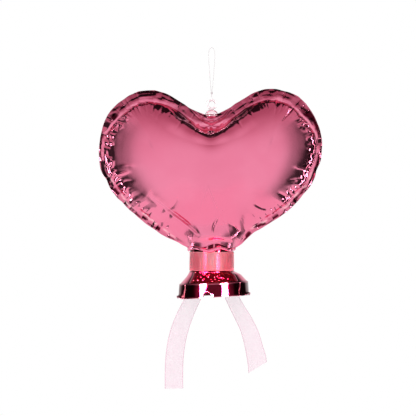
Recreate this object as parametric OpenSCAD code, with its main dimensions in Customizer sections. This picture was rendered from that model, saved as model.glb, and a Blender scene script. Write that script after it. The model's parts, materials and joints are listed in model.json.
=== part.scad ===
// Heart-shaped foil balloon: a hollow two-shell heart with a flat seam, hung by its cap from a thin
// loop, with a flared mouth on a short neck and a sheer ribbon tied round that neck.
// Millimetres. The origin is where the loop rests on its hook, +Z is up and the front faces -Y.

/* [Heart] */
// Width over both lobes
heart_w = 180; // [140:1:220]
// Height from the lobe tops to the neck
heart_h = 130; // [105:1:160]
// Distance between the two lobe tops
lobe_gap = 99; // [80:1:119]
// Depth of the notch below the lobe tops
notch_drop = 21; // [14:1:26]
// Drop from the lobe tops to the widest level
shoulder_drop = 45; // [36:1:55]
// Thickness front to back
heart_depth = 62; // [50:1:76]
// Wall of each shell
shell_wall = 1.2; // [1:0.1:1.6]
// Width of the flat seam round the edge
seam_w = 6.5; // [5:0.1:8]
// Thickness of each shell's half of the seam
seam_t = 0.8; // [0.6:0.1:1]

/* [Neck and mouth] */
// Outer diameter of the neck
neck_d = 34.4; // [28:0.1:42]
// Length of bare neck under the heart
neck_len = 15.6; // [13:0.1:19]
// Outer diameter where the flare meets the rim band
flare_d = 53; // [46:0.1:60]
// Height of the conical flare
flare_h = 10.4; // [8:0.1:14]
// Outer diameter of the open mouth
mouth_d = 57.4; // [50:0.1:66]
// Height of the rim band
rim_h = 11.2; // [9:0.1:14]
// Wall of the neck and the mouth
mouth_wall = 1.6; // [1.3:0.1:2]
// Length of the spigot that is glued into the shells
spigot_len = 11; // [8:0.1:13]
// Step from the neck down to the spigot
spigot_step = 0.6; // [0.5:0.1:0.8]
// Clearance round the spigot
spigot_gap = 0.3; // [0.1:0.05:0.3]

/* [Hanger cap] */
// Diameter of the dome
cap_d = 11.2; // [9:0.1:14]
// Height of the dome
cap_h = 5; // [4:0.1:5.6]
// Outer diameter of the eyelet
eyelet_d = 8.4; // [7:0.1:10]
// Thickness of the eyelet's ring
eyelet_wire = 1.6; // [1.3:0.1:1.6]
// Diameter of the plug under the dome
plug_d = 4.4; // [3.6:0.1:5.3]
// Length of the plug
plug_len = 9; // [7:0.1:11]
// Outer diameter of the sleeve that holds the plug
sleeve_d = 8; // [6.5:0.1:9.5]
// Length of the sleeve
sleeve_len = 12; // [10:0.1:14.4]
// Clearance round the dome in the notch
cap_gap = 0.3; // [0.2:0.05:0.5]

/* [Ribbon] */
// Width of the ribbon
ribbon_w = 15; // [12.5:0.1:15]
// Thickness of the ribbon wrapped round the neck
band_t = 0.5; // [0.4:0.05:0.6]
// Thickness of each tail
tail_t = 0.4; // [0.3:0.05:0.6]
// Width of a tail where it is gathered into the knot
gather_w = 4.5; // [3.6:0.1:5.5]
// Height of the knot
knot_h = 9; // [7.5:0.1:11]
// Width of the knot
knot_w = 13; // [10.8:0.1:15.6]

/* [Hanging loop] */
// Diameter of the clear thread
cord_d = 0.5; // [0.4:0.05:0.6]
// Diameter of the knot that closes the loop
cord_knot_d = 2.2; // [1.8:0.1:2.7]

/* [Hidden] */

// The loop carries the eyelet here; its points below are laid round this height.
eyelet_top_z = -42;

// Route of the loop: from its knot down in front of the eyelet, under it, up behind it, up the
// right strand, over the hook and down the left strand into the knot.
CORD_ROUTE = [
    [0, -0.3, -36.5], [0, -1, -38.5], [0, -1.3, -40.5], [0, -1.3, -42], [0, -0.9, -42.95],
    [0, 0, -43.35], [0, 0.9, -42.95], [0, 1.3, -42], [0, 1.3, -40.5], [0, 1, -38.5],
    [0.2, 0.4, -36.5], [0.6, 0.2, -33], [1.4, 0, -24], [2.1, 0, -14], [2.5, 0, -7],
    [2.3, 0, -3], [1.4, 0, -0.6], [0, 0, 0.25], [-1.4, 0, -0.6], [-2.3, 0, -3],
    [-2.5, 0, -7], [-2.1, 0, -14], [-1.4, 0, -24], [-0.6, 0, -33], [-0.2, -0.1, -36.2]];
cord_knot_z = -36.4;
cord_steps = 3;

// Levels, from the eyelet down
eyelet_r = (eyelet_d - eyelet_wire) / 2;
eyelet_mid_z = eyelet_top_z - eyelet_r;
cap_sink = 0.2;
dome_top_z = eyelet_mid_z - eyelet_r - eyelet_wire / 2 + cap_sink;
notch_z = dome_top_z - cap_h;
top_z = notch_z + notch_drop;
wide_z = top_z - shoulder_drop;
tip_z = top_z - heart_h;
middle_z = top_z - 0.45 * heart_h;
flare_top_z = tip_z - neck_len;
rim_top_z = flare_top_z - flare_h;
mouth_z = rim_top_z - rim_h;

// Radii of the neck and of what it enters
neck_r = neck_d / 2;
spigot_r = neck_r - spigot_step;
throat_in_r = spigot_r + spigot_gap;
throat_r = throat_in_r + shell_wall;
throat_h = 32;
throat_spread = 8;

// How finely the shells are made
ARC = 13;
CUT = 8;
RINGS = 10;

function clamp(v) = min(1, max(0, v));
function ease(v) = let (c = clamp(v)) c * c * (3 - 2 * c);
function mix(a, b, t) = a * (1 - t) + b * t;
function bezier(a, b, c, d, t) =
    let (u = 1 - t) a * u * u * u + b * 3 * u * u * t + c * 3 * u * t * t + d * t * t * t;

// A smooth curve through points, with a number of steps from each to the next
function curve(a, b, c, d, t) =
    0.5 * ((2 * b) + (c - a) * t + (2 * a - 5 * b + 4 * c - d) * t * t
           + (3 * b - 3 * c + d - a) * t * t * t);
function smooth(points, steps) =
    let (last = len(points) - 1, at = function(i) points[min(last, max(0, i))])
    concat([for (i = [0:last - 1]) for (s = [0:steps - 1])
        curve(at(i - 1), at(i), at(i + 1), at(i + 2), s / steps)], [points[last]]);

// The right half of the heart's outline, in X and Z: three curves from the notch over the lobe top
// and the widest point down to the neck.
notch_point = [0, notch_z];
lobe_point = [lobe_gap / 2, top_z];
side_point = [heart_w / 2, wide_z];
neck_point = [throat_r, tip_z];
function lobe_inside(t) = bezier(notch_point, [0.33 * lobe_point.x, mix(notch_z, top_z, 0.07)],
                                 [0.57 * lobe_point.x, top_z], lobe_point, t);
function lobe_outside(t) = bezier(lobe_point, [mix(lobe_point.x, side_point.x, 0.56), top_z],
                                  [side_point.x, mix(wide_z, top_z, 0.49)], side_point, t);
function flank(t) = bezier(side_point, [side_point.x, mix(wide_z, tip_z, 0.38)],
                           [mix(throat_r, side_point.x, 0.73), mix(wide_z, tip_z, 0.62)],
                           neck_point, t);
HALF = concat([for (i = [0:ARC - 1]) lobe_inside(i / ARC)],
              [for (i = [0:ARC - 1]) lobe_outside(i / ARC)],
              [for (i = [0:ARC]) flank(i / ARC)]);
BOTTOM = [for (i = [1:CUT - 1]) [throat_r * cos(180 * i / CUT), tip_z]];
OUTLINE = concat(HALF, BOTTOM, [for (i = [len(HALF) - 1:-1:1]) [-HALF[i].x, HALF[i].y]]);

// The shells are height fields over rings that shrink from the outline to the middle. The pillow
// falls from its crown to the seam, and near the neck it blends with a round throat.
function seam_at(p) = mix(0.8, seam_w, ease((p.y - tip_z) / 25));
function ring_point(p, k) =
    let (m = [0, middle_z], r = norm(p - m), s = 1 - seam_at(p) / r)
    k == RINGS ? p : m + (p - m) * s * sin(90 * k / (RINGS - 1));
function pillow(k) =
    k >= RINGS - 1 ? 0 : heart_depth / 2 * pow(1 - pow(sin(90 * k / (RINGS - 1)), 2.4), 0.62);
function throat(q) =
    let (t = clamp((tip_z + throat_h - q.y) / throat_h), r = throat_r + throat_spread * (1 - t))
    sqrt(max(0, r * r - q.x * q.x)) * ease(1.6 * t);
function outer_y(q, k) = max(seam_t, pow(pow(pillow(k), 4) + pow(throat(q), 4), 0.25));
function inner_y(q, k) = max(0, outer_y(q, k) - shell_wall);

// One shell as a closed solid: the outer skin, the inner skin and the edge between them
module half_heart() {
    n = len(OUTLINE);
    grid = [for (k = [1:RINGS]) [for (p = OUTLINE) ring_point(p, k)]];
    m = [0, middle_z];
    outer = [for (k = [1:RINGS]) for (q = grid[k - 1]) [q.x, -outer_y(q, k), q.y]];
    inner = [for (k = [1:RINGS]) for (q = grid[k - 1]) [q.x, -inner_y(q, k), q.y]];
    points = concat(outer, inner, [[m.x, -outer_y(m, 0), m.y], [m.x, -inner_y(m, 0), m.y]]);
    base = n * RINGS;
    outer_mid = 2 * base;
    inner_mid = outer_mid + 1;
    skin = [for (k = [0:RINGS - 2]) for (i = [0:n - 1])
        let (j = (i + 1) % n, a = k * n + i, b = k * n + j, c = b + n, d = a + n)
        each [[a, c, b], [a, d, c]]];
    lining = [for (f = skin) [f[0] + base, f[2] + base, f[1] + base]];
    crown = [for (i = [0:n - 1]) [outer_mid, i, (i + 1) % n]];
    hollow = [for (i = [0:n - 1]) [inner_mid, base + (i + 1) % n, base + i]];
    edge = [for (i = [0:n - 1])
        let (j = (i + 1) % n, a = base - n + i, b = base - n + j)
        each [[a, b + base, b], [a, a + base, b + base]]];
    polyhedron(points, concat(skin, lining, crown, hollow, edge));
}

// Room for the sleeve, and above it for the dome, where the seam rises on both sides of the notch
module cap_space() {
    translate([0, 0, notch_z - sleeve_len]) cylinder(d = sleeve_d, h = sleeve_len + 1, $fn = 48);
    translate([0, 0, notch_z]) cylinder(d = cap_d + 2 * cap_gap, h = notch_drop, $fn = 64);
}

module front_shell() {
    color("hotpink") difference() {
        half_heart();
        cap_space();
    }
}

module back_shell() {
    color("hotpink") difference() {
        mirror([0, 1, 0]) half_heart();
        cap_space();
    }
}

// The sleeve between the shells that takes the cap's plug
module cap_sleeve() {
    color("deeppink") translate([0, 0, notch_z - sleeve_len]) difference() {
        cylinder(d = sleeve_d, h = sleeve_len, $fn = 48);
        translate([0, 0, sleeve_len - plug_len]) cylinder(d = plug_d, h = plug_len + 1, $fn = 48);
    }
}

// Dome, eyelet and plug are moulded in one piece of clear plastic
module hanger_cap() {
    dome_r = (cap_d * cap_d / 4 + cap_h * cap_h) / (2 * cap_h);
    dome_edge = asin(min(1, cap_d / 2 / dome_r));
    color("mistyrose") union() {
        translate([0, 0, notch_z]) rotate_extrude($fn = 64) polygon(concat([[0, 0]],
            [for (i = [0:12]) let (a = dome_edge * (1 - i / 12))
                [dome_r * sin(a), cap_h - dome_r * (1 - cos(a))]]));
        translate([0, 0, eyelet_mid_z]) rotate([90, 0, 0]) rotate_extrude($fn = 48)
            translate([eyelet_r, 0]) circle(d = eyelet_wire, $fn = 24);
        translate([0, 0, notch_z - plug_len]) cylinder(d = plug_d, h = plug_len + cap_sink, $fn = 48);
    }
}

// Spigot, neck, flare and rim band, open below and closed at the top of the spigot
module mouth() {
    inner_r = neck_r - mouth_wall;
    lip_r = 0.8;
    color("crimson") rotate_extrude($fn = 96) polygon([
        [0, tip_z + spigot_len], [spigot_r, tip_z + spigot_len], [spigot_r, tip_z], [neck_r, tip_z],
        [neck_r, flare_top_z], [flare_d / 2, rim_top_z], [mouth_d / 2 - lip_r, mouth_z + 2 * lip_r],
        [mouth_d / 2, mouth_z + lip_r], [mouth_d / 2 - 0.3, mouth_z],
        [mouth_d / 2 - mouth_wall, mouth_z], [flare_d / 2 - mouth_wall, rim_top_z - mouth_wall / 2],
        [inner_r, flare_top_z - mouth_wall / 2], [inner_r, tip_z + spigot_len - mouth_wall],
        [0, tip_z + spigot_len - mouth_wall]]);
}

// The ribbon goes round the neck just under the heart and is knotted at the back
band_top_z = tip_z - 0.3;
band_mid_z = band_top_z - ribbon_w / 2;
knot_sink = 0.5;
knot_y = neck_r + band_t + knot_h / 2 - knot_sink;

module ribbon_band() {
    color("pink") translate([0, 0, band_top_z - ribbon_w]) difference() {
        cylinder(r = neck_r + band_t, h = ribbon_w, $fn = 96);
        translate([0, 0, -1]) cylinder(r = neck_r, h = ribbon_w + 2, $fn = 96);
    }
}

module ribbon_knot() {
    color("pink") hull() for (x = [-1, 1])
        translate([x * (knot_w - knot_h) / 2, knot_y, band_mid_z]) sphere(d = knot_h, $fn = 28);
}

// Each tail starts under the knot and hangs behind the mouth. Its points are given from its own
// start, as right or left of it, behind it and below it, with the turn of its width from X.
tail_start_y = knot_y + 1.5;
tail_start_z = band_mid_z - knot_h / 2 - 0.5;
tail_clear = max(0, (mouth_d / 2 + 0.6) - tail_start_y);
LEFT_TAIL = [
    [0, 0, 0, 0], [-2, 0.35, 5, 15], [-5, 0.7, 11, 30], [-8, 0.95, 18, 30], [-11.5, 1, 25, 25],
    [-15.5, 0.95, 33, 20], [-19.5, 0.85, 42, 15], [-23, 0.7, 52, 10], [-25.5, 0.55, 63, 10],
    [-27, 0.4, 75, 10], [-27.5, 0.3, 87, 10], [-27.5, 0.2, 99, 10]];
RIGHT_TAIL = [
    [0, 0, 0, 0], [2.5, 0.35, 5, -15], [6, 0.7, 11, -35], [10, 0.95, 18, -40], [13.5, 1, 25, -40],
    [17.5, 0.95, 33, -30], [22.5, 0.85, 42, -20], [27.5, 0.7, 53, -15], [31, 0.55, 65, -10],
    [33.5, 0.4, 76, -10], [34, 0.3, 82, -10]];
left_start_x = -3.2;
right_start_x = 3.2;
gather_len = 28;
tail_steps = 3;

function tail_w(drop) = mix(gather_w, ribbon_w, ease((drop + 4) / gather_len));
// A thin strip swept along a tail's points; slant lowers one corner of its cut end. Its front and
// its back are split along the same diagonals, so that they keep apart where the strip turns.
module tail(points, start_x, slant) {
    line = smooth(points, tail_steps);
    last = len(line) - 1;
    strip = [for (i = [0:last])
        let (p = line[i], w = tail_w(p[2]) / 2, side = [cos(p[3]), sin(p[3])],
             at = [start_x + p.x, tail_start_y + p.y * tail_clear], z = tail_start_z - p[2],
             cut = i == last ? slant / 2 : 0, half = tail_t / 2)
        for (corner = [[-1, -1], [1, -1], [1, 1], [-1, 1]])
            [at.x + side.x * w * corner.x - side.y * half * corner.y,
             at.y + side.y * w * corner.x + side.x * half * corner.y,
             z + cut * corner.x]];
    end = 4 * last;
    sides = [for (i = [0:last - 1]) for (k = [0:3])
        let (a = i * 4 + k, b = i * 4 + (k + 1) % 4)
        each (k < 2 ? [[a, b, b + 4], [a, b + 4, a + 4]] : [[a, b, a + 4], [b, b + 4, a + 4]])];
    polyhedron(strip, concat([[3, 2, 1, 0]], sides, [[end, end + 1, end + 2, end + 3]]));
}

module ribbon_tail_left() {
    color("pink") tail(LEFT_TAIL, left_start_x, 0);
}

module ribbon_tail_right() {
    color("pink") tail(RIGHT_TAIL, right_start_x, 9);
}

// A tube of eight sides on the smooth curve through the route's points
CORD_LINE = smooth(CORD_ROUTE, cord_steps);
function unit(v) = v / norm(v);

module hanging_cord() {
    n = len(CORD_LINE);
    frames = [for (i = 0, along = unit(CORD_LINE[1] - CORD_LINE[0]), across = [1, 0, 0]; i < n;
        i = i + 1,
        along = unit(CORD_LINE[min(n - 1, i + 1)] - CORD_LINE[max(0, i - 1)]),
        across = unit(across - along * (across * along))) [across, cross(along, across)]];
    points = [for (i = [0:n - 1]) for (k = [0:7])
        CORD_LINE[i] + cord_d / 2 * (frames[i][0] * cos(45 * k) + frames[i][1] * sin(45 * k))];
    sides = [for (i = [0:n - 2]) for (k = [0:7])
        let (a = 8 * i + k, b = 8 * i + (k + 1) % 8) each [[a, b + 8, b], [a, a + 8, b + 8]]];
    color("white") polyhedron(points, concat([[for (k = [0:7]) k]], sides,
        [[for (k = [7:-1:0]) 8 * (n - 1) + k]]));
}

module cord_knot() {
    color("white") translate([0, 0, cord_knot_z]) sphere(d = cord_knot_d, $fn = 24);
}

front_shell();
back_shell();
cap_sleeve();
hanger_cap();
mouth();
ribbon_band();
ribbon_knot();
ribbon_tail_left();
ribbon_tail_right();
hanging_cord();
cord_knot();
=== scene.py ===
"""Looks of a heart-shaped foil balloon ornament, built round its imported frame.

Shapes are worked out in millimetres and turned into metres when a mesh is made. +Z is up and the
front faces -Y. On the heart, u runs along the outline, d is the distance inwards from it.
"""
import json
import math

import bpy
import numpy as np
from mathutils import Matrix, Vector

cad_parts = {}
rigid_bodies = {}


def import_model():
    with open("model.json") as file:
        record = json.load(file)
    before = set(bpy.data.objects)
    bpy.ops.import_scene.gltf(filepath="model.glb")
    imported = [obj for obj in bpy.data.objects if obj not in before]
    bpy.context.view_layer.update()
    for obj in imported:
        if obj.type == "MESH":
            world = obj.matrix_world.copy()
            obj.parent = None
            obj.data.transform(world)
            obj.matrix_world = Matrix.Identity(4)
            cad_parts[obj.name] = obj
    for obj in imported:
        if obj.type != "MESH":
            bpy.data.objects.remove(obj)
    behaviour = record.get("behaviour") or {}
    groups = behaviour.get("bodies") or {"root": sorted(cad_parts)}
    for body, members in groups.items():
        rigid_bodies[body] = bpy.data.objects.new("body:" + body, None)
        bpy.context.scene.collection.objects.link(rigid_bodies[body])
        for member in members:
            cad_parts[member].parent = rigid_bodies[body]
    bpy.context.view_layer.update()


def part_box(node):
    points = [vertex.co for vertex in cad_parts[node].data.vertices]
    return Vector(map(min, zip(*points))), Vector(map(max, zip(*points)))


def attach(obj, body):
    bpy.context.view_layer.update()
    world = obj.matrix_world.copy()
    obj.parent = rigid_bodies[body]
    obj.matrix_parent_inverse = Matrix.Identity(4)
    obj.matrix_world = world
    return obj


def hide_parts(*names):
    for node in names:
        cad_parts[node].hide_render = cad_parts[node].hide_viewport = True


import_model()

MM = 0.001


def box_mm(node):
    """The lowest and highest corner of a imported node, in millimetres."""
    low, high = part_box(node)
    return np.array(low) / MM, np.array(high) / MM


SHELL_LOW, SHELL_HIGH = box_mm("front_shell")
KNOT_LOW, KNOT_HIGH = box_mm("ribbon_knot")
BAND_HIGH, CAP_HIGH, TAIL_HIGH = (
    box_mm(node)[1] for node in ("ribbon_band", "hanger_cap", "ribbon_tail_left"))


def add_object(name, data):
    """A new object in the scene."""
    new = bpy.data.objects.new(name, data)
    bpy.context.scene.collection.objects.link(new)
    return new


# ---------------------------------------------------------------- camera

VIEW_WIDTH = 0.3343
VIEW_DISTANCE = 2.4
VIEW_MIDDLE = (-0.003, -0.1286)
SENSOR = 36.0


def make_camera():
    """A long lens, level, that looks straight at the front of the heart."""
    data = bpy.data.cameras.new("camera")
    data.sensor_width = SENSOR
    data.lens = SENSOR * VIEW_DISTANCE / VIEW_WIDTH
    data.clip_end = 50
    camera = add_object("camera", data)
    camera.location = (VIEW_MIDDLE[0], -VIEW_DISTANCE, VIEW_MIDDLE[1])
    camera.rotation_euler = (math.radians(90), 0, 0)
    bpy.context.scene.camera = camera


make_camera()


# ---------------------------------------------------------------- numbers

def ease(low, high, x):
    """0 below low, 1 above high, and a smooth step between."""
    t = np.clip((x - low) / (high - low), 0, 1)
    return t * t * (3 - 2 * t)


def mix(a, b, t):
    """a where t is 0, b where t is 1, and evenly between."""
    return a * (1 - t) + b * t


def hump(x, middle, width, power=2):
    """1 at the middle, and less the further x is from it; a power of 4 gives it a flat top."""
    return np.exp(-((x - middle) / width) ** power)


def noise(x, y, seed, sharp=False):
    """Noise from -1 to 1: a random value at each whole x and y, joined smoothly or, if sharp, by
    straight lines, so that it has kinks. With a fixed y it runs along a line; seed picks the
    values."""
    table = np.random.default_rng(seed).uniform(-1, 1, (512, 128))
    x, y = np.broadcast_arrays(x, y)
    i, j = np.floor(x).astype(int), np.floor(y).astype(int)
    s, t = x - i, y - j
    if not sharp:
        s, t = (q * q * q * (q * (q * 6 - 15) + 10) for q in (s, t))
    i, j = i % 512, j % 128
    k, m = (i + 1) % 512, (j + 1) % 128
    top = table[i, j] * (1 - s) + table[k, j] * s
    return top * (1 - t) + (table[i, m] * (1 - s) + table[k, m] * s) * t


def smooth_line(points, steps):
    """A smooth curve through points, with a number of steps from each to the next."""
    p = np.array(points, float)
    a, b, c, d = (p[np.clip(np.arange(len(p) - 1) + k, 0, len(p) - 1)] for k in (-1, 0, 1, 2))
    t = (np.arange(steps) / steps)[None, :, None]
    a, b, c, d = (q[:, None, :] for q in (a, b, c, d))
    line = 0.5 * (2 * b + (c - a) * t + (2 * a - 5 * b + 4 * c - d) * t ** 2
                  + (3 * b - 3 * c + d - a) * t ** 3)
    return np.vstack([line.reshape(-1, p.shape[1]), p[-1:]])


def steps_of(line):
    """Distances from each point of a line to the next."""
    return np.linalg.norm(np.diff(line, axis=0), axis=1)


def run_of(line):
    """Distance along a line at each of its points."""
    return np.concatenate([[0], np.cumsum(steps_of(line))])


def turns(count):
    """Even angles all the way round, in radians."""
    return np.linspace(0, 2 * np.pi, count, endpoint=False)


def from_front(turn):
    """Angles in degrees, from -180 to 180 with 0 at the front."""
    return np.degrees((turn + np.pi) % (2 * np.pi) - np.pi)


def turned(r, z, turn):
    """Points at radius r and height z, at each turn round the axis from the front."""
    return np.stack([r * np.sin(turn), -r * np.cos(turn), z + 0 * turn], -1).reshape(-1, 3)


# ---------------------------------------------------------------- meshes

def make_mesh(name, points, faces, layers=None):
    """A mesh object from points in millimetres and a list of face arrays of 3 or 4 corners each.
    layers holds values per point, by name."""
    mesh = bpy.data.meshes.new(name)
    corners = np.concatenate([f.ravel() for f in faces]).astype(np.int32)
    totals = np.concatenate([np.full(len(f), f.shape[1]) for f in faces]).astype(np.int32)
    starts = np.concatenate([[0], np.cumsum(totals)[:-1]]).astype(np.int32)
    mesh.vertices.add(len(points))
    mesh.vertices.foreach_set("co", (np.asarray(points) * MM).astype(np.float32).ravel())
    mesh.loops.add(len(corners))
    mesh.loops.foreach_set("vertex_index", corners)
    mesh.polygons.add(len(totals))
    mesh.polygons.foreach_set("loop_start", starts)
    mesh.update(calc_edges=True)
    mesh.polygons.foreach_set("use_smooth", np.ones(len(totals), bool))
    for layer, values in (layers or {}).items():
        attribute = mesh.attributes.new(layer, "FLOAT", "POINT")
        attribute.data.foreach_set("value", np.asarray(values, np.float32).ravel())
    mesh.validate()
    return add_object(name, mesh)


def grid_faces(rows, columns, start=0, wrap_columns=True, wrap_rows=False):
    """Quads over a grid of points, row by row."""
    r = np.arange(rows if wrap_rows else rows - 1)
    c = np.arange(columns if wrap_columns else columns - 1)
    r, c = np.meshgrid(r, c, indexing="ij")
    r2, c2 = (r + 1) % rows, (c + 1) % columns
    quads = np.stack([r * columns + c, r * columns + c2, r2 * columns + c2, r2 * columns + c], -1)
    return quads.reshape(-1, 4) + start


def strip_faces(start_a, n_a, start_b, n_b):
    """Faces between ring a and ring b, where b has as many points as a, or half as many."""
    i = np.arange(n_b)
    j = (i + 1) % n_b
    if n_a == n_b:
        return [np.stack([start_a + i, start_a + j, start_b + j, start_b + i], 1)]
    even, odd, after = start_a + 2 * i, start_a + 2 * i + 1, start_a + (2 * i + 2) % n_a
    return [np.concatenate([np.stack([even, odd, start_b + i], 1),
                            np.stack([odd, start_b + j, start_b + i], 1),
                            np.stack([odd, after, start_b + j], 1)])]


def fan(start, count, pole):
    """Triangles from a ring of points, from index start on, to a pole."""
    i = np.arange(count)
    return np.stack([start + i, start + (i + 1) % count, np.full(count, pole)], 1)


def capped_faces(rows, columns):
    """Faces over rings of points, closed by two poles that come after them."""
    pole = rows * columns
    return [grid_faces(rows, columns), fan(0, columns, pole)[:, ::-1],
            fan(pole - columns, columns, pole + 1)]


def dome_faces(sizes, start, pole):
    """Faces of rings of these sizes, one after another from index start, closed by a pole."""
    faces, at = [], start
    for n, m in zip(sizes, sizes[1:]):
        faces += strip_faces(at, n, at + n, m)
        at += n
    return faces + [fan(at, sizes[-1], pole)]


def flipped(faces):
    """The same faces, turned to look the other way."""
    return [f[:, ::-1] for f in faces]


def clean(piece):
    """Turns every face outwards."""
    bpy.context.view_layer.objects.active = piece
    piece.select_set(True)
    bpy.ops.object.mode_set(mode="EDIT")
    bpy.ops.mesh.select_all(action="SELECT")
    bpy.ops.mesh.normals_make_consistent(inside=False)
    bpy.ops.object.mode_set(mode="OBJECT")
    piece.select_set(False)
    return piece


# ---------------------------------------------------------------- hanging thread

THREAD = 0.5
THREAD_SIDES = 10
THREAD_KNOT_Z = -36.4
THREAD_KNOT_SIZE = 0.3
# Route of the loop, from its knot round the eyelet, up the right strand, over and down the left
THREAD_ROUTE = [
    [0, -0.3, -36.5], [0, -1, -38.5], [0, -1.3, -40.5], [0, -1.3, -42], [0, -0.9, -42.95],
    [0, 0, -43.35], [0, 0.9, -42.95], [0, 1.3, -42], [0, 1.3, -40.5], [0, 1, -38.5],
    [0.2, 0.4, -36.5], [0.6, 0.2, -33], [1.4, 0, -24], [2.1, 0, -14], [2.5, 0, -7],
    [2.3, 0, -3], [1.4, 0, -0.6], [0, 0, 0.25], [-1.4, 0, -0.6], [-2.3, 0, -3],
    [-2.5, 0, -7], [-2.1, 0, -14], [-1.4, 0, -24], [-0.6, 0, -33], [-0.2, -0.1, -36.2]]


def tube(name, line, radius, sides, closed=False):
    """A round tube along a line, with flat ends or closed on itself."""
    ahead, behind = np.roll(line, -1, 0), np.roll(line, 1, 0)
    if not closed:
        ahead[-1], behind[0] = line[-1], line[0]
    along = ahead - behind
    along /= np.linalg.norm(along, axis=1)[:, None]
    across = np.cross(along, [0.35, 1, 0.1])
    across /= np.linalg.norm(across, axis=1)[:, None]
    up = np.cross(across, along)
    angle = turns(sides)[None, :, None]
    ring = across[:, None] * np.cos(angle) + up[:, None] * np.sin(angle)
    points = (line[:, None] + ring * radius).reshape(-1, 3)
    if closed:
        faces = [grid_faces(len(line), sides, wrap_rows=True)]
    else:
        points = np.vstack([points, line[0], line[-1]])
        faces = capped_faces(len(line), sides)
    return clean(make_mesh(name, points, faces))


def make_thread():
    """The thread as one open tube through the route, and its length and path in metres."""
    line = smooth_line(THREAD_ROUTE, 8)
    path = line * MM
    length = float(steps_of(path).sum())
    return tube("loop_thread", line, THREAD / 2, THREAD_SIDES), length, path.tolist()


def make_thread_knot():
    """An overhand knot: a small trefoil line with a round section."""
    t = turns(96)
    line = np.stack([np.sin(t) + 2 * np.sin(2 * t), -0.9 * np.sin(3 * t),
                     np.cos(t) - 2 * np.cos(2 * t)], 1) * THREAD_KNOT_SIZE
    line[:, 2] += THREAD_KNOT_Z
    return tube("thread_knot", line, THREAD / 2, THREAD_SIDES, closed=True)


thread, thread_length, thread_path = make_thread()
thread_knot = make_thread_knot()
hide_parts("hanging_cord")
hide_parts("cord_knot")
for piece in (thread, thread_knot):
    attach(piece, "loop")


# ---------------------------------------------------------------- heart

# Sizes in millimetres; the outline passes the notch, the lobe's top, the widest point and the neck
HALF_WIDTH = SHELL_HIGH[0]
TOP_Z, TIP_Z = SHELL_HIGH[2], SHELL_LOW[2]
HALF_DEPTH = SHELL_HIGH[1] - SHELL_LOW[1]
EDGE_HEIGHT = 0.5
NOTCH_DROP = 21
WIDE_DROP = 45
MIDDLE_SHARE = 0.45
LOBE_X = 49.5
NOTCH_Z = TOP_Z - NOTCH_DROP
WIDE_Z = TOP_Z - WIDE_DROP
MIDDLE = np.array([0, TOP_Z - MIDDLE_SHARE * (TOP_Z - TIP_Z)])
THROAT_R = 18.1
THROAT_LENGTH = 38
OUTLINE_N = 1280


def bezier(a, b, c, d, n):
    """n points on the curve from a to d that b and c pull at."""
    a, b, c, d = (np.array(q, float) for q in (a, b, c, d))
    t = np.linspace(0, 1, n)[:, None]
    return a * (1 - t) ** 3 + 3 * b * t * (1 - t) ** 2 + 3 * c * t ** 2 * (1 - t) + d * t ** 3


def spaced(points, n):
    """n points at even distances along a closed line, and the line's length."""
    closed = np.vstack([points, points[:1]])
    run = run_of(closed)
    at = np.arange(n) * run[-1] / n
    return np.stack([np.interp(at, run, closed[:, k]) for k in (0, 1)], 1), run[-1]


def heart_outline():
    """The outline in X and Z, clockwise from the notch as seen from the front, and its length:
    for each half, three curves by the lobe top and the widest point down to the neck. The flanks
    are drawn in over the neck, and the upper part leans a little to the left."""
    lobe, side, neck = (LOBE_X, TOP_Z), (HALF_WIDTH, WIDE_Z), (THROAT_R, TIP_Z)
    inside = bezier((0, NOTCH_Z), (0.33 * LOBE_X, mix(NOTCH_Z, TOP_Z, 0.07)),
                    (0.57 * LOBE_X, TOP_Z), lobe, 400)
    outside = bezier(lobe, (mix(LOBE_X, HALF_WIDTH, 0.56), TOP_Z),
                     (HALF_WIDTH, mix(WIDE_Z, TOP_Z, 0.49)), side, 400)
    flank = bezier(side, (HALF_WIDTH, mix(WIDE_Z, TIP_Z, 0.38)),
                   (mix(THROAT_R, HALF_WIDTH, 0.73), mix(WIDE_Z, TIP_Z, 0.62)), neck, 500)
    half = np.vstack([inside[:-1], outside[:-1], flank])
    left = half[:0:-1] * [-1, 1]
    x, z = np.vstack([half, left]).T
    drawn_in = 6.5 * hump(z - TIP_Z, 15, 8.5) * ease(THROAT_R, THROAT_R + 12, x)
    upper = ease(TIP_Z, TIP_Z + 40, z)
    return spaced(np.stack([x - drawn_in - 1.2 * upper, z + 0.012 * x * upper], 1), OUTLINE_N)


OUTLINE, OUTLINE_LENGTH = heart_outline()
U_STEP = OUTLINE_LENGTH / OUTLINE_N
U_NECK = np.argmin(np.abs(OUTLINE[:OUTLINE_N // 2] - [THROAT_R, TIP_Z]).sum(1)) * U_STEP


def outline_normals(line):
    """Inward normals of the outline, smoothed over a few millimetres."""
    along = np.roll(line, -3, 0) - np.roll(line, 3, 0)
    spectrum = np.fft.fft(along[:, 0] + 1j * along[:, 1])
    k = np.fft.fftfreq(len(line), 1 / len(line))
    along = np.fft.ifft(spectrum * np.exp(-(k / 60) ** 2))
    along /= np.abs(along)
    return np.stack([along.imag, -along.real], 1)


def on_flank(u):
    """1 along the seam and 0 near the neck, where the seam runs out."""
    from_neck = np.minimum(np.abs(u - U_NECK), np.abs(OUTLINE_LENGTH - u - U_NECK))
    inside = (u > U_NECK) & (u < OUTLINE_LENGTH - U_NECK)
    return np.where(inside, 0, ease(1, 22, from_neck))


def dented(line):
    """The outline with the small flats and dents of a seam that was welded and cut."""
    u = np.arange(len(line)) * U_STEP
    flats = 0.95 * noise(u / 11, 0.5, 11, sharp=True) + 0.4 * noise(u / 4.5, 3.5, 12, sharp=True)
    return line + outline_normals(line) * ((flats + 0.2) * on_flank(u))[:, None]


EDGE = dented(OUTLINE)
EDGE_NORMAL = outline_normals(OUTLINE)


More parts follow.
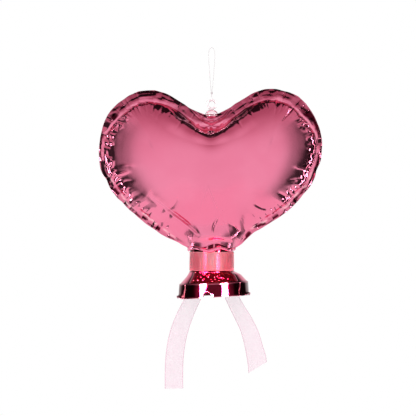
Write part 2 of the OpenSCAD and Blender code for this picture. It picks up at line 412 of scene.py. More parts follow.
def softened(line, amount):
    """The outline with its fine shape damped, more the greater the amount."""
    centre = MIDDLE[0] + 1j * MIDDLE[1]
    spectrum = np.fft.fft(line[:, 0] + 1j * line[:, 1] - centre)
    k = np.fft.fftfreq(len(line), 1 / len(line))
    soft = np.fft.ifft(spectrum * np.exp(-(k * amount * 0.36) ** 2))
    return np.stack([soft.real, soft.imag], 1)


def seam_place(points):
    """For points in X and Z, the distance u along the outline and the distance d inwards."""
    gap = points[:, None] - OUTLINE[None, ::2]
    near = 2 * np.argmin((gap ** 2).sum(-1), 1)
    rest = points - OUTLINE[near]
    inward = EDGE_NORMAL[near]
    along = np.stack([-inward[:, 1], inward[:, 0]], 1)
    d = (rest * inward).sum(1)
    slide = np.clip((rest * along).sum(1), -U_STEP, U_STEP)
    return near * U_STEP + slide, d


# Distances from the edge of the rows of points, then how the rows go on to the middle
NEAR_ROWS = np.concatenate([[0, 0.25, 0.7, 1.4, 2.4, 3.5, 4.5, 5.3], np.arange(5.9, 15, 0.42),
                            np.arange(15.2, 22, 0.75)])
FAR_COUNTS = [640] * 44 + [320] * 8 + [160] * 6
FAR_ROWS = np.linspace(0, 1, len(FAR_COUNTS) + 2)[1:-1]


# Along the outline: where it faces upwards, and where the notch is
U_GRID = np.arange(OUTLINE_N) * U_STEP
UPPER = ease(0.2, 0.65, -EDGE_NORMAL[:, 1])
NOTCH = hump(OUTLINE[:, 0], 0, 9) * (OUTLINE[:, 1] > WIDE_Z)


def on_outline(values, u):
    """Values given at each step of the outline, read off at distances u along it."""
    return np.interp(u, np.r_[U_GRID, OUTLINE_LENGTH], np.r_[values, values[:1]])


# Width and height of the roll along the welded edge, which runs out at the neck
CALM = on_flank(U_GRID)
ROLL_W = mix(0.8, 5.2 + 4.6 * UPPER - 1.6 * NOTCH + 0.9 * noise(U_GRID / 12, 0.5, 31) * (1 - NOTCH)
             + 0.35 * noise(U_GRID / 4.5, 1.5, 31), CALM)
ROLL_H = ROLL_W * mix(0.62, 0.72, UPPER) * CALM


def blurred(values, width):
    """Values along the outline, smoothed over a width in millimetres."""
    k = np.fft.fftfreq(OUTLINE_N, U_STEP)
    return np.fft.ifft(np.fft.fft(values) * np.exp(-(k * width) ** 2 * 8)).real


def ring_rows():
    """Rings of points in X and Z from the edge to the middle, each with its share g of the way
    from the middle to the seam and the base height of the pillow there. Further in, the rings
    forget the edge's small dents."""
    reach = np.linalg.norm(EDGE - MIDDLE, axis=1)
    ray = (EDGE - MIDDLE) / reach[:, None]
    across = np.maximum(0.45, np.abs((ray * EDGE_NORMAL).sum(1)))
    smooth_reach = np.linalg.norm(softened(EDGE, 0.35), axis=1)
    seam = 1 - ROLL_W / across / reach
    smooth_seam = 1 - blurred(ROLL_W / across, 30) / smooth_reach
    base = EDGE_HEIGHT + blurred(ROLL_H, 30)
    rings = []
    for row in NEAR_ROWS:
        blend = ease(8, 21, row)
        share = 1 - row / mix(reach, smooth_reach, blend)
        soft = softened(EDGE, 1 - float(share.mean()))
        line = mix(EDGE - MIDDLE, soft, blend)
        seam_here = mix(seam, smooth_seam, ease(7, 18, row))
        rings.append((MIDDLE + share[:, None] * line, share / seam_here, base))
    last = 1 - NEAR_ROWS[-1] / smooth_reach
    for t, count in zip(FAR_ROWS, FAR_COUNTS):
        share = last * (1 - t)
        soft = softened(EDGE, 1 - float(share.mean()))
        step = OUTLINE_N // count
        rings.append(((MIDDLE + share[:, None] * soft)[::step], (share / smooth_seam)[::step],
                      base[::step]))
    return rings


MIDDLE_BASE = 3
RINGS = ring_rows()
RING_POINTS = np.vstack([p for p, g, base in RINGS] + [MIDDLE[None]])
RING_SHARE = np.clip(np.concatenate([g for p, g, base in RINGS] + [[0]]), 0, None)
RING_BASE = np.concatenate([base for p, g, base in RINGS] + [[MIDDLE_BASE]])
RING_SIZES = [len(p) for p, g, base in RINGS]
# In 60 parts, which keeps the table of distances small
SEAM_U, SEAM_D = (np.concatenate(q) for q in zip(*[
    seam_place(p) for p in np.array_split(RING_POINTS, 60)]))


def pillow(x, z, share, base):
    """Height of the smooth pillow over the plane of the seam. It falls from its crown to the base
    height at the seam, and near the neck it blends with a round throat."""
    body = base + (HALF_DEPTH - base) * (1 - np.clip(share, 0, 1) ** 2.9) ** 0.92
    t = np.clip((TIP_Z + THROAT_LENGTH - z) / THROAT_LENGTH, 0, 1)
    half = THROAT_R + 16 * (1 - t)
    bulge = np.clip(1 - (x / half) ** 2, 0, None) ** mix(1.3, 0.5, t ** 2)
    throat = (THROAT_R + 6 * (1 - t)) * bulge * ease(0, 0.75, t)
    return (body ** 3 + throat ** 3) ** (1 / 3)


PUFF_SPACING = 8.5


def rolled_edge(u, d):
    """Height of the welded edge: a lumpy roll that leans outwards, parted into small puffs, with a
    nearly flat ledge on its inner part."""
    width, high = on_outline(ROLL_W, u), on_outline(ROLL_H, u)
    t = np.clip(d / width, 0, 1)
    top = on_outline(UPPER, u)
    # Kinks along the roll, flat facets on it, fine streaks, and puffs with sharp gaps between
    lean = 1.3 * noise(u / 8, 0.5, 34, sharp=True) + 0.9 * noise(u / 4.6, 1.5, 34, sharp=True)
    facets = mix(1.1, 1.3, top) * noise(u / 6, d / 4, 35, sharp=True)
    streaks = mix(0.4, 1, top) * (0.4 * noise(u / 9, d / 1.7, 36) + 0.12 * noise(u / 4, d, 37))
    place = u / PUFF_SPACING + 0.7 * noise(u / 9, 2.5, 34)
    away = PUFF_SPACING * np.abs((place + 0.5) % 1 - 0.5)
    strength = np.clip(0.75 + 0.9 * noise(u / 8, 3.5, 34), 0, 1.5)
    puffs = strength * (mix(1.5, 0.7, top) * (np.clip(away / 4.2, 0, 1) ** 0.5 - 0.5)
                        - mix(0.2, 1, top) * np.clip(1 - away / 0.8, 0, 1))
    free = np.sin(np.pi * mix(0.08, 1, t)) ** 0.8 * np.clip(high / 3, 0, 1)
    free = free * (1 - 0.7 * ease(0.5, 0.8, t))
    rise = 0.1 * t + 0.9 * (1 - np.clip(1 - t / 0.72, 0, 1) ** 1.25)
    return EDGE_HEIGHT + high * rise + (lean + facets + streaks + puffs) * free


# Under the cap: where the gathers are along X, and how far the pleats lie from the edge
GATHER_X = -1
PLEAT_ROWS = (2.3, 4.6, 6.8)
PLEAT_DEPTH = 2.2
SCALLOP_WIDTH = 4.8


def notch_boss(x, z, d):
    """Under the cap the foil is gathered over the cap's seat. Gives how high it stands at least,
    the pleats to be added, how high it stands at most, up to a shelf with a scalloped end, and
    how much fuller the face is just below the shelf."""
    here = z > NOTCH_Z - 24
    boss = 6.6 * hump(x, GATHER_X, 13) * (1 - (1 - np.clip(d / 2.5, 0, 1)) ** 2)
    boss = boss * (1 - ease(7, 13, d)) * here
    bow = d + 0.02 * x ** 2 + 0.7 * noise(x / 4.5, 0.5, 38) + 0.3 * noise(x / 1.8, 1.5, 38)
    lines = sum(hump(bow, row, 0.45) for row in PLEAT_ROWS)
    scallop = np.abs(np.sin(np.pi * (x / SCALLOP_WIDTH + 0.35 * noise(x / 5, 2.5, 38))))
    middle = hump(x, GATHER_X, 14, 4) * here
    shelf = 6.4 + 0.9 * scallop + 30 * ease(8.8, 12, d - 2.2 * scallop) + 40 * (1 - middle)
    fuller = 4 * ease(10, 13, d) * (1 - ease(14, 25, d)) * middle
    return boss, -PLEAT_DEPTH * lines * middle, shelf, fuller


# Sharp puckers that run in from the seam along the lobes: place along X, reach, depth, half width
SPIKES = [(-64, 9, 0.7, 1.6), (-55, 11, 0.8, 1.8), (-44, 17, 1.5, 2.6), (-34, 15, 1.3, 3.2),
          (-26, 9, 0.8, 1.8), (-17, 11, 0.8, 1.8), (-8, 8, 0.9, 1.6), (5, 8, 0.9, 2),
          (14, 9, 1, 2), (24, 8, 0.8, 1.8), (32, 8, 0.5, 1.8), (43, 9, 0.8, 2.2), (54, 14, 1.3, 2.2),
          (61, 10, 0.8, 1.8), (71, 15, 1.4, 2.6)]
# Soft folds and creases on the face: points in X and Z, height, half width
FOLDS = [([(8.5, -131), (6, -134.5), (2, -141.5), (0.8, -146), (1.5, -152)], 1.1, 0.8),
         ([(-54, -118), (-38, -131), (-22, -142), (-10, -151)], 1.5, 3.6),
         ([(-47, -118), (-33, -130), (-22, -138.5), (-12, -147.5)], -1.5, 1.5),
         ([(-27, -135), (-18, -142), (-10, -149.5)], -1.1, 1.1),
         ([(-36, -131), (-31, -127), (-28, -122)], -0.5, 1.6),
         ([(14, -142.2), (18, -143.6), (22, -147)], -0.8, 1.2),
         ([(35, -126), (40, -128.5), (46, -129.5)], -0.9, 1.3),
         ([(54, -117), (60, -119.5), (66, -119)], -0.9, 1.5),
         ([(-80, -104), (-72, -101), (-66, -100)], 1.2, 1.3),
         ([(-78, -97), (-69, -95), (-60, -95.5)], 0.5, 1.8),
         ([(-75, -112), (-69, -108), (-63, -107)], -0.8, 1.8),
         ([(80, -97), (72, -97), (66, -96)], 0.9, 1.4),
         ([(76, -108), (70, -106), (62, -107)], -0.8, 1.6)]


def fold_heights(x, z):
    """Sum of the folds: each falls off with the distance from its line and towards its ends."""
    total = np.zeros_like(x)
    for points, height, width in FOLDS:
        line = smooth_line(points, 50)
        t = np.linspace(0, 1, len(line))
        near = (np.abs(x - line[:, 0].mean()) < 50) & (np.abs(z - line[:, 1].mean()) < 50)
        gap = np.hypot(x[near, None] - line[None, :, 0], z[near, None] - line[None, :, 1])
        k = gap.argmin(1)
        ends = np.sin(np.pi * (0.06 + 0.88 * t[k])) ** 0.7
        uneven = 1 + 0.6 * noise(x[near] / 5 + 9, z[near] / 5, 45)
        total[near] += height * uneven * ends / (1 + (gap[np.arange(len(k)), k] / width) ** 2) ** 1.5
    return total


def crinkles(x, z, u, d, side):
    """Height of the puckers over the pillow. Along the sides small bubbles crowd the seam; along
    the lobes the face starts with a step up from the ledge, and puckers and sharp spikes run in
    from it. All of them fade towards the face and at the neck."""
    seed = 40 if side < 0 else 80
    v = d - on_outline(ROLL_W, u)
    inward_x = on_outline(EDGE_NORMAL[:, 0], u)
    sideways = ease(0.55, 0.9, np.abs(inward_x)) * ease(TIP_Z + 22, TIP_Z + 48, z)
    upper = on_outline(UPPER, u) * (1 - 0.6 * sideways)
    lower = np.clip(1 - sideways - upper, 0, 1)
    calm = on_outline(CALM, u)
    # The line along which the face begins wanders a little in and out
    meander = 1.1 * noise(u / 10, 0.5, seed, sharp=True) + noise(u / 2.7, 1.5, seed + 1)

    # Bubbles that crowd the seam, and short dashes along the lower flanks
    bend_u = u / 2.8 + 0.6 * noise(u / 6, v / 6, seed + 2)
    bend_v = v / 2.7 + 0.6 * noise(u / 6, v / 6, seed + 3)
    cells = noise(bend_u, bend_v, seed + 4) + 0.4 * noise(u / 5, v / 5, seed + 5)
    band = ease(-1.2, 0.6, v) * (1 - ease(5, 8.5, v + meander))
    dashes = noise(u / 5.5, v / 2.6, seed + 10) + 0.2 * noise(u / 2.6, v / 2, seed + 11)
    crowd = (0.75 + 0.35 * ease(2, 6, v)) * sideways + 0.15 * upper + 0.1 * lower
    heights = band * (cells * np.where(x > 0, 0.5, 1) * crowd + 0.45 * dashes * lower)

    # Even puckers that run in from the seam
    phase = u / 4.8 + noise(u / 7, 0.5, seed + 6)
    bulge = np.abs(np.sin(np.pi * phase)) - 0.64
    reach = 2.6 + 1.4 * noise(u / 9, 2.5, seed + 7)
    heights += bulge * ease(-1.5, 0.8, v) * (1 - ease(reach, reach + 4, v)) * (
        0.4 * sideways + 0.25 * upper + 0.35 * lower)

    # A low crest along the ledge's inner side, then the step up to the face
    ledge = v - meander * mix(0.6, 1, ease(4, 12, np.abs(x)))
    crest = hump(ledge, -0.4, 1.2)
    beside_notch = hump(np.abs(x - GATHER_X), 27, 14) * (1 - ease(3, 16, v))
    fading = (1 - ease(4, 45, v)) * mix(0.4, 1, ease(18, 50, np.abs(x)))
    step = ease(0.1, 1.9, ledge) * (fading + 1.6 * beside_notch)
    strong = 0.85 + 0.4 * noise(u / 9, 3.5, seed + 8) * (1 - ease(1.5, 6, v))
    strong = strong * (1 - hump(x, GATHER_X, 12, 4))
    heights += ((upper + 0.9 * lower) * 0.4 * crest
                + (upper + 0.2 * lower + 0.2 * sideways) * 1.7 * step) * strong
    for place, length, depth, half in SPIKES:
        aside = np.where(OUTLINE[:, 1] < WIDE_Z, np.inf, np.abs(OUTLINE[:, 0] - place))
        at = int(np.argmin(aside)) * U_STEP
        away = np.abs((u - at + OUTLINE_LENGTH / 2) % OUTLINE_LENGTH - OUTLINE_LENGTH / 2)
        taper = np.clip(1 - (v - 1.5) / length, 0, 1) * ease(-1, 1.5, v)
        heights -= depth * taper ** 0.6 * np.clip(1 - away / (half * taper + 0.05), 0, 1)
    # Low on the right the foil is pressed flat round one smooth swelling
    pressed = hump(x, 27, 12, 4) * hump(z, -142, 12, 4)
    swelling = 3.2 * hump(x, 30, 8) * hump(z, -143, 8)
    heights = heights * (1 - 0.97 * pressed) + swelling
    heights += 0.3 * noise(x / 32, z / 32, seed + 9) * ease(0, 14, v)
    return heights * calm + fold_heights(x, z) * (side < 0)


def seam_painted_light(u, d):
    """Light painted on the foil along the seam: painted shade, standing for black reflections, in lenses
    near the edge of the lower flanks, in blotches and gaps at the sides and a little all over the
    roll, and a painted highlight in a broken line along the ledge."""
    inward_x, inward_z = (on_outline(EDGE_NORMAL[:, k], u) for k in (0, 1))
    flank = ease(0.15, 0.5, inward_z) * on_flank(u)
    v = d - on_outline(ROLL_W, u)
    lenses = ease(0, 0.16, noise(u / 6.5, d / 3.4, 51)) * ease(0.5, 1.3, d) * (1 - ease(3.4, 4.6, d))
    blotches = (ease(-0.3, 0, noise(u / 8, d / 6, 53)) * ease(0.6, 0.9, -inward_x)
                + ease(0.1, 0.3, noise(u / 5, d / 6, 54)) * ease(0.6, 0.9, inward_x))
    blotches *= ease(0.4, 1, d) * (1 - ease(-2.4, -1.4, v))
    gaps = 0.8 * ease(0, 0.25, noise(u / 2.6, v / 2.4, 55)) * ease(0.75, 0.95, -inward_x)
    gaps *= ease(-1, 1, v) * (1 - ease(5, 9, v))
    roll = np.clip(flank + ease(0.2, 0.6, -inward_z), 0, 1) * (1 - ease(-2.6, -1.2, v))
    # Painted shade: the foil is made near black where the seam should mirror black surroundings, and in
    # the gaps between bubbles
    painted_shade = np.clip(lenses * flank + 0.95 * blotches + gaps + 0.24 * roll, 0, 1)
    # Painted highlight: a broken bright line along the ledge
    away = v + 0.9 + 0.9 * noise(u / 7, 0.5, 52) + 0.5 * noise(u / 2.5, 1.5, 52)
    broken = ease(-0.25, 0.2, noise(u / 5, 2.5, 52))
    painted_highlight = hump(away, 0, 0.55) * broken * (0.25 + 0.75 * flank) * on_flank(u)
    return painted_shade, painted_highlight


def seam_wave(u, d):
    """How far the seam is bent out of its plane, with sharp turns between straight lengths."""
    free = np.clip(1 - d / 9, 0, 1)
    wave = 1.1 * noise(u / 8.5, 0.5, 21, sharp=True) + 0.4 * noise(u / 3.4, 1.5, 22, sharp=True)
    return wave * free * on_flank(u)


LIP_RISE = 2.0
ARCH_RISE = 4.4
# Rings whose points the inner skin follows, how many it keeps of each, its share of the pillow's
# height and how much lower still it lies
LINING_RINGS = ((0, 640), (7, 320), (20, 160), (30, 80))
LINING_SHARE = 0.86
LINING_GAP = 3


def make_heart_half(name, side):
    """One half of the heart as a closed shell: its crinkled outer skin and a plain inner skin that
    share the edge. side is -1 for the front and 1 for the back."""
    x, z = RING_POINTS.T
    u, d = SEAM_U, SEAM_D
    base = RING_BASE
    v = d - on_outline(ROLL_W, u)
    edge = rolled_edge(u, d)
    height = base + (edge - base) * np.exp(-np.clip(v, 0, None) / 5)
    height += pillow(x, z, RING_SHARE, base) - base
    boss, pleats, shelf, fuller = notch_boss(x, z, d)
    height = np.maximum(height + fuller, boss) + crinkles(x, z, u, d, side)
    height = np.minimum(height, shelf) + pleats
    height = np.maximum(height, 0.45 + 0.2 * np.clip(d, 0, 3))
    lip = ease(TIP_Z + 14, TIP_Z, z)
    z_moved = z + lip * (LIP_RISE + ARCH_RISE * hump(x, 3.5, 9) + 0.4 * noise(x / 3, 0.5, 39))
    height += 0.4 * np.exp(-(z - TIP_Z) / 2.2) * lip
    y = seam_wave(u, d) + side * height
    outer = np.stack([x, y, z_moved], 1)

    starts = np.concatenate([[0], np.cumsum(RING_SIZES)])
    inner, sizes = [], []
    for row, count in LINING_RINGS:
        ring = np.arange(starts[row], starts[row + 1])[::RING_SIZES[row] // count]
        low = LINING_SHARE * pillow(x[ring], z[ring], RING_SHARE[ring], 0) - LINING_GAP
        low = np.maximum(0, low)
        inner.append(np.stack([x[ring] * 0.9985, seam_wave(u[ring], d[ring]) + side * low,
                               z_moved[ring]], 1))
        sizes.append(len(ring))
    low = LINING_SHARE * HALF_DEPTH - LINING_GAP
    middle = np.array([[MIDDLE[0], side * low, MIDDLE[1]]])
    points = np.vstack([outer, *inner, middle])

    pole = len(outer) - 1
    skin = dome_faces(RING_SIZES, 0, pole)
    start = len(outer)
    lining = strip_faces(0, OUTLINE_N, start, sizes[0]) + dome_faces(sizes, start, len(points) - 1)
    faces = skin + flipped(lining) if side < 0 else flipped(skin) + lining
    crimp = ease(24, 9, d) * on_flank(u)
    # Painted shade and painted highlight along the seam, kept with the points for the foil's colour
    painted_shade, painted_highlight = seam_painted_light(u, d)
    plain = np.zeros(len(points) - len(outer))
    layers = {"crimp": np.r_[crimp, plain], "painted_shade": np.r_[painted_shade, plain], "painted_highlight": np.r_[painted_highlight, plain]}
    return make_mesh(name, points, faces, layers)


heart_front = make_heart_half("heart_front", -1)
heart_back = make_heart_half("heart_back", 1)
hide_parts("front_shell")
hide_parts("back_shell")
for piece in (heart_front, heart_back):
    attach(piece, "heart")


# ---------------------------------------------------------------- mouth

BAND_TOP = BAND_HIGH[2]


# The mouth's profile: radius and height down the outside, then back up the inside
MOUTH_OUTSIDE = [
    (17, -150.6), (18.2, -151.4), (18.3, -153.8), (17.3, -163.6), (17.25, -166), (17.2, -172),
    (17.2, -177.5), (17.35, -178.9), (18.1, -179.6), (19.05, -180.7), (20, -181.8), (21, -182.9),
    (22, -184.03), (23, -185.17), (24, -186.3), (25, -187.4), (26, -188.5), (26.9, -189.1),
    (27.3, -189.6), (27.2, -190.3), (27.3, -192), (27.6, -195), (27.9, -198), (28.1, -199.5),
    (28.6, -200.2), (28.5, -200.6)]
MOUTH_INSIDE = [
    (27.6, -200.5), (27, -199.5), (26.2, -196), (25.6, -191), (24.9, -189.4), (20, -184),
    (16.2, -180), (15.7, -178), (15.7, -170), (15.7, -151)]
OUTSIDE_STEPS = 7
INSIDE_STEPS = 4
# The notch in the rim and the painted glint lines on the neck, by the distance round from the
# front, and the rim's corners, by angle and width in degrees
RIM_NOTCH_AT = -4.6
RIM_NOTCH_HALF = 4.6
RIM_CORNERS = ((-76, 9), (74, 10))
NECK_GLINT_LINES = (-3.6, 1.9)


def make_mouth():
    """Neck, flare and rim: a closed profile turned round the axis. On the cone's front lies a
    crumpled panel in a raised frame, the rim is slightly uneven, its lower edge has a notch that
    curls out in front, and its two corners turn up. Painted highlights light up the edges, the
    frame lines, the cone beside the frame and two thin lines on the neck."""
    profile = np.vstack([smooth_line(MOUTH_OUTSIDE, OUTSIDE_STEPS),
                         smooth_line(MOUTH_INSIDE, INSIDE_STEPS)])
    count = 420
    turn = turns(count)
    r, z = (np.repeat(profile[:, k:k + 1], count, 1) for k in (0, 1))
    a = from_front(turn)[None]
    outer = (np.arange(len(profile)) <= OUTSIDE_STEPS * (len(MOUTH_OUTSIDE) - 1))[:, None]
    arc = r * np.radians(a)

    z0 = z
    cone = ease(-179.4, -180.6, z) * ease(-189.2, -187.9, z) * outer
    edge_at = 47 + 3 * (z + 184) / 5
    panel = ease(edge_at, edge_at - 4, np.abs(a)) * cone
    crumple = noise(arc / 1.1, z / 1.1, 61) + 0.7 * noise(arc / 0.6, z / 0.6, 62)
    r = r + panel * (0.34 * crumple - 0.7)
    gathers = np.cos(turn * 24 + 1.5 * np.sin(3 * turn))
    r = r + 0.06 * gathers * ease(-163.8, -162.5, z) * outer
    r = r + 0.55 * hump(np.abs(a), edge_at, 2.4) * cone

    rim = ease(-189.4, -190.4, z) * outer
    r = r + rim * (0.28 * noise(arc / 9, z / 14, 63) + 0.1 * noise(arc / 3.5, z / 6, 64))
    low = ease(-194.5, -200.6, z)
    from_notch = np.abs(arc - RIM_NOTCH_AT)
    notch = np.clip(1 - from_notch / RIM_NOTCH_HALF, 0, 1)
    z = z + 5.2 * notch * low ** 1.2
    r = r + 2.1 * notch ** 2 * low ** 2
    for corner, width in RIM_CORNERS:
        curl = hump(a, corner, width)
        r = r + 1.3 * curl * low ** 3
        z = z + 2.2 * curl * low ** 3
    z = z + low * 0.4 * np.sin(np.radians(a) * 2 + 0.7)
    lean = 1 - ease(-184, -178, z)
    x = r * np.sin(turn)
    x = mix(x, 1.02 * x + 1.5, lean)
    y = -r * np.cos(turn)
    z = z + (0.045 * x + 0.6) * lean

    # Painted highlights, for reflections of bright lights: the cone beside the frame, the frame lines,
    # the ridge over the rim, the rim's lower edge and notch, and the neck's glint lines
    wedge = ease(edge_at + 5, edge_at + 9, np.abs(a)) * cone
    frame_line = hump(np.abs(a), edge_at, 2.2) * cone
    ridge = hump(z0, -189.5, 0.55) * outer
    # Painted glints: two thin bright lines on the neck, where folds in the foil would catch the light
    glint_lines = sum(hump(arc, at, 0.5) for at in NECK_GLINT_LINES) * ease(-165, -164, z0) * outer
    hem = ease(-199.6, -200.3, z0) * outer + 0.8 * hump(from_notch, 4.2, 0.5) * low ** 3 * outer
    painted_highlight = 0.95 * wedge + 0.5 * frame_line + 0.45 * ridge + 0.7 * hem + glint_lines
    points = np.stack([x, y, z], -1).reshape(-1, 3)
    faces = [grid_faces(len(profile), count, wrap_rows=True)]
    layers = {"painted_highlight": np.clip(painted_highlight, 0, 1), "panel": panel}
    return clean(make_mesh("mouth_foil", points, faces, layers))


# Height of the lip's middle line over the band's top, by the angle round the neck from the front
LIP_HEIGHTS = [(-180, 2), (-120, 2.6), (-90, 1.6), (-53, 3.3), (-30, 2.4), (-7, 1), (18, 3.2),
               (35, 2.5), (52, 1.3), (90, 2.2), (125, 1.5), (180, 2)]


def make_frill():
    """The curled pink lip of the heart round the top of the neck: a thin closed band that waves
    up and down and rolls outwards."""
    count, rows = 480, 14
    turn = turns(count)[None]
    a = from_front(turn)
    t = turns(rows)[:, None]
    line = smooth_line(LIP_HEIGHTS, 12)
    wave = np.interp(a, line[:, 0], line[:, 1])
    middle_r = 18.5 + 0.4 * noise(a / 14, 0, 72)
    thick = 0.8 + 0.25 * noise(a / 11, 0.5, 73)
    high = 1.35 + 0.35 * noise(a / 16, 0.5, 74)
    r = middle_r + thick * np.cos(t) + 0.3 * np.sin(t)
    z = BAND_TOP + wave + high * np.sin(t) - 0.2 * np.cos(t)
    faces = [grid_faces(rows, count, wrap_rows=True)]
    return clean(make_mesh("neck_frill", turned(r, z, turn), faces))


mouth_foil = make_mouth()
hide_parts("mouth")
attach(mouth_foil, "heart")
neck_frill = make_frill()
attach(neck_frill, "heart")


# ---------------------------------------------------------------- hanger cap

def lathe(name, profile, count=96):
    """A closed profile that starts and ends on the axis, turned round it."""
    profile = np.array(profile, float)
    rings = profile[1:-1]
    points = turned(rings[:, :1], rings[:, 1:], turns(count))
    points = np.vstack([points, [0, 0, profile[0, 1]], [0, 0, profile[-1, 1]]])
    return clean(make_mesh(name, points, capped_faces(len(rings), count)))


def apply_modifiers(piece):
    """Puts the evaluated mesh in place of the piece's own."""
    graph = bpy.context.evaluated_depsgraph_get()
    mesh = bpy.data.meshes.new_from_object(piece.evaluated_get(graph))
    piece.modifiers.clear()
    piece.data = mesh
    mesh.polygons.foreach_set("use_smooth", np.ones(len(mesh.polygons), bool))


EYELET_WIDTH = 8.4
EYELET_WIRE = 1.6


def make_cap():
    """Dome, plug and eyelet in one piece of clear plastic."""
    base = NOTCH_Z
    dome = [(r, base + h) for r, h in [(0, 5.1), (0.9, 5.05), (1.9, 4.8), (3, 4.25), (4, 3.4),
                                       (4.8, 2.3), (5.3, 1.2), (5.55, 0.5), (5.6, 0.25), (5.45, 0.02)]]
    plug = [(r, base - h) for r, h in [(2.4, 0), (2.2, 0.3), (2.2, 8.6), (1.9, 8.9), (0, 8.95)]]
    body = lathe("clear_cap", np.vstack([smooth_line(dome, 3), plug]))
    wire_r = EYELET_WIRE / 2
    middle_z = CAP_HIGH[2] - EYELET_WIDTH / 2
    rows, count = 96, 28
    turn, around = turns(rows)[:, None], turns(count)[None]
    r = (EYELET_WIDTH - EYELET_WIRE) / 2 + wire_r * np.cos(around)
    points = np.stack([r * np.sin(turn), wire_r * np.sin(around) + 0 * turn,
                       middle_z + r * np.cos(turn)], -1).reshape(-1, 3)
    ring = clean(make_mesh("eyelet", points, [grid_faces(rows, count, wrap_rows=True)]))
    join = body.modifiers.new("join", "BOOLEAN")
    join.operation, join.solver, join.object = "UNION", "EXACT", ring
    apply_modifiers(body)
    bpy.data.objects.remove(ring)
    return body


def make_sleeve():
    """The pleated collar of foil in the notch that holds the cap's plug."""
    count = 240
    profile = smooth_line([(r, NOTCH_Z + h) for r, h in [
        (4.9, 0.05), (5.4, -0.5), (5.2, -1.2), (4.2, -2.2), (4, -6), (4, -11.8), (2.3, -12),
        (2.3, -1.5), (2.4, -0.2), (3.6, -0.05)]], 4)
    turn = turns(count)
    pleats = 13
    r = profile[:, :1] + 0.22 * np.cos(pleats * turn) * ease(4, 5, profile[:, :1])
    faces = [grid_faces(len(profile), count, wrap_rows=True)]
    return clean(make_mesh("cap_collar", turned(r, profile[:, 1:], turn), faces))


clear_cap = make_cap()
cap_collar = make_sleeve()
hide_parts("hanger_cap")
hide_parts("cap_sleeve")
for piece, slot in ((clear_cap, "clear_plastic"), (cap_collar, "heart_foil")):
    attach(piece, "heart")


# ---------------------------------------------------------------- ribbon

RIBBON_W = 15.0
CLOTH = 0.12
BAND_R = BAND_HIGH[0]
KNOT_Y = (KNOT_LOW[1] + KNOT_HIGH[1]) / 2
KNOT_MID_Z = (KNOT_LOW[2] + KNOT_HIGH[2]) / 2


def thicken(piece):
    """Gives a cloth its thickness."""
    wall = piece.modifiers.new("thickness", "SOLIDIFY")
    wall.thickness = CLOTH * MM
    wall.offset = 0
    apply_modifiers(piece)
    return piece


def make_wrap():
    """The ribbon round the neck: a band with upright wrinkles, drawn together at the back. The
    layers across and along are the ribbon's own coordinates in millimetres."""
    count, rows = 360, 24
    turn = turns(count)[None]
    a = from_front(turn)
    t = np.linspace(0, 1, rows)[:, None]
    arc = BAND_R * np.radians(a)
    gather = ease(120, 172, np.abs(a))
    z = BAND_TOP - RIBBON_W * t
    z = mix(z, KNOT_MID_Z + (0.5 - t) * 7.5, gather)
    r = BAND_R + 0.05 + 0.22 * noise(arc / 5, t * 1.2, 91) * (1 - gather)
    r = r + 0.12 * noise(arc / 1.7, t * 2.5, 92)
    r = r + gather * 0.7 * np.abs(np.sin(4 * np.pi * t))
    z = z + 0.25 * noise(arc / 8, 0.5 + 0 * t, 93) * (1 - gather)
    layers = {"across": RIBBON_W * t + 0 * turn, "along": arc + 60 + 0 * t}
    return thicken(make_mesh("ribbon_wrap", turned(r, z, turn), [grid_faces(rows, count)], layers))


def make_knot():
    """The knot: a plump closed form with the ribbon's folds running over it from top to bottom."""
    rows, count = 64, 128
    s = np.linspace(0, np.pi, rows)[:, None]
    turn = turns(count)[None]
    x, y, z = np.sin(s) * np.sin(turn), -np.sin(s) * np.cos(turn), np.cos(s) + 0 * turn
    round_off = (np.abs(x) ** 3 + np.abs(y) ** 3 + np.abs(z) ** 3) ** (-1 / 3)
    folds = 1 + 0.06 * np.sin(9 * x + 2 * np.sin(3 * z)) + 0.08 * noise(x * 2 + 5, z * 2 + 5, 95)
    half = (KNOT_HIGH - KNOT_LOW) / 2 * [0.98, 1, 0.98]
    points = np.stack([x, y, z], -1) * (round_off * folds)[..., None] * half
    points = points + [0, KNOT_Y, KNOT_MID_Z]
    points = np.vstack([points[1:-1].reshape(-1, 3), points[0, :1], points[-1, -1:]])
    across = RIBBON_W / 2 + 6 * x[1:-1]
    along = 8 * s[1:-1] + 0 * turn
    layers = {"across": np.r_[across.ravel(), 7.5, 7.5], "along": np.r_[along.ravel(), 0, 25]}
    return clean(make_mesh("ribbon_bow_knot", points, capped_faces(rows - 2, count), layers))


# Each tail's points from its start under the knot: right, back as a share, down, turn in degrees
TAIL_BACK = 6.1
GATHER_W = 4.5
GATHER_LENGTH = 28.0
LEFT_TAIL = [
    [0, 0, 0, 0], [-2, 0.35, 5, 15], [-5, 0.7, 11, 30], [-8, 0.95, 18, 30], [-11.5, 1, 25, 25],
    [-15.5, 0.95, 33, 20], [-19.5, 0.85, 42, 15], [-23, 0.7, 52, 10], [-25.5, 0.55, 63, 10],
    [-27, 0.4, 75, 10], [-27.5, 0.3, 87, 10], [-27.5, 0.2, 99, 10]]
RIGHT_TAIL = [
    [0, 0, 0, 0], [2.5, 0.35, 5, -15], [6, 0.9, 11, -24], [10, 1.3, 18, -27], [13.5, 1.35, 25, -34],
    [17.5, 1.2, 33, -30], [22.5, 0.95, 42, -20], [27.5, 0.7, 53, -15], [31, 0.55, 65, -10],
    [33.5, 0.4, 76, -10], [34, 0.3, 82, -10]]
TAIL_START_X = 3.2
TAIL_START_Y = KNOT_Y + 1.5
TAIL_START_Z = TAIL_HIGH[2]


